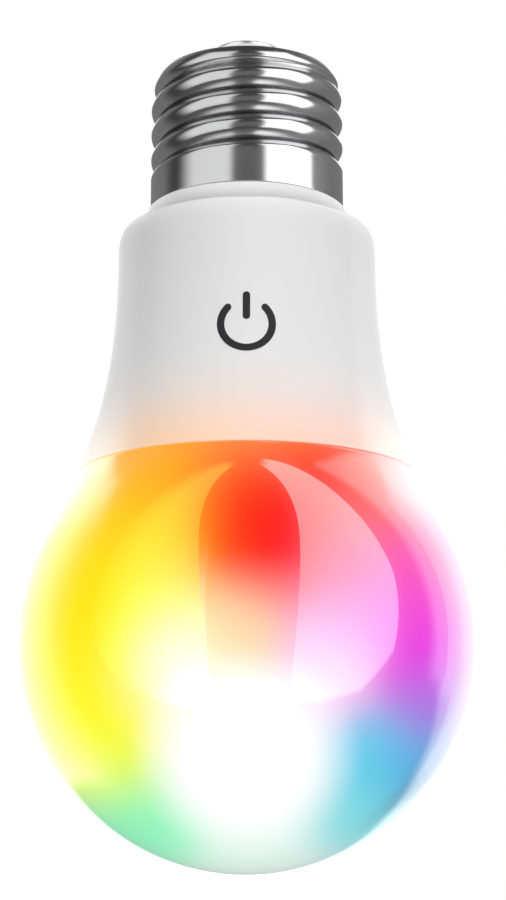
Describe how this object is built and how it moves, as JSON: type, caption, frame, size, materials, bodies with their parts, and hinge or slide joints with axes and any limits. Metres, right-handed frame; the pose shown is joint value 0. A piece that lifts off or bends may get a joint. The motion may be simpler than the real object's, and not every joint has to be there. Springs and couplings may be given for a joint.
{
  "type": "smart light bulb",
  "caption": "Pear-shaped smart light bulb with a screw cap, a flared white housing and a glossy opal globe that glows in several colours.",
  "frame": {"origin": "middle of the flat face of the centre contact, at the top of the cap", "axes": "+Z along the bulb's axis, out of the cap; the globe hangs towards -Z; -Y is the front, the side with the printed symbol"},
  "size_m": [0.06, 0.06, 0.1134],
  "materials": {
    "contact_metal": "nickel-plated, polished by pressing",
    "insulator": "black fused glass, smooth",
    "cap_metal": "nickel-plated sheet, rolled, semi-bright",
    "housing": "white moulded plastic, satin gloss",
    "diffuser": "opal, glossy, lit from inside in several colours",
    "sealant": "cured silicone",
    "sink_metal": "deep-drawn, bare",
    "pad": "soft thermal pad",
    "led_board": "white solder mask on an aluminium core",
    "screw_steel": "zinc-plated",
    "white_led": "yellow phosphor in a white frame",
    "colour_led": "clear lens over three dice in a white frame",
    "driver_board": "green solder mask",
    "can_sleeve": "shrink sleeve on an aluminium can",
    "film_box": "yellow potted box",
    "resistor": "green lacquer",
    "chip": "black moulding compound",
    "ferrite": "dark sintered ferrite",
    "winding": "enamelled wire under amber tape",
    "connector": "natural nylon",
    "radio_board": "blue solder mask",
    "shield": "tinned steel can",
    "aerial": "gold-plated copper track",
    "live_insulation": "red-brown wire insulation",
    "neutral_insulation": "white wire insulation"
  },
  "bodies": {
    "root": {"centre_contact": "contact_metal", "cap_insulator": "insulator", "screw_shell": "cap_metal", "housing": "housing", "diffuser": "diffuser", "adhesive_bead": "sealant", "heat_sink": "sink_metal", "thermal_pad": "pad", "led_board": "led_board", "board_screw_left": "screw_steel", "board_screw_right": "screw_steel", "white_led_1": "white_led", "white_led_2": "white_led", "white_led_3": "white_led", "white_led_4": "white_led", "white_led_5": "white_led", "white_led_6": "white_led", "white_led_7": "white_led", "white_led_8": "white_led", "white_led_9": "white_led", "white_led_10": "white_led", "white_led_11": "white_led", "white_led_12": "white_led", "colour_led_1": "colour_led", "colour_led_2": "colour_led", "colour_led_3": "colour_led", "colour_led_4": "colour_led", "colour_led_5": "colour_led", "colour_led_6": "colour_led", "driver_board": "driver_board", "input_capacitor": "can_sleeve", "output_capacitor": "can_sleeve", "film_capacitor": "film_box", "fusible_resistor": "resistor", "bridge_rectifier": "chip", "choke_inductor": "ferrite", "transformer_core": "ferrite", "transformer_winding": "winding", "driver_chip": "chip", "board_connector": "connector", "radio_board": "radio_board", "radio_shield": "shield", "antenna": "aerial", "live_wire": "live_insulation", "neutral_wire": "neutral_insulation"}
  },
  "joints": []
}
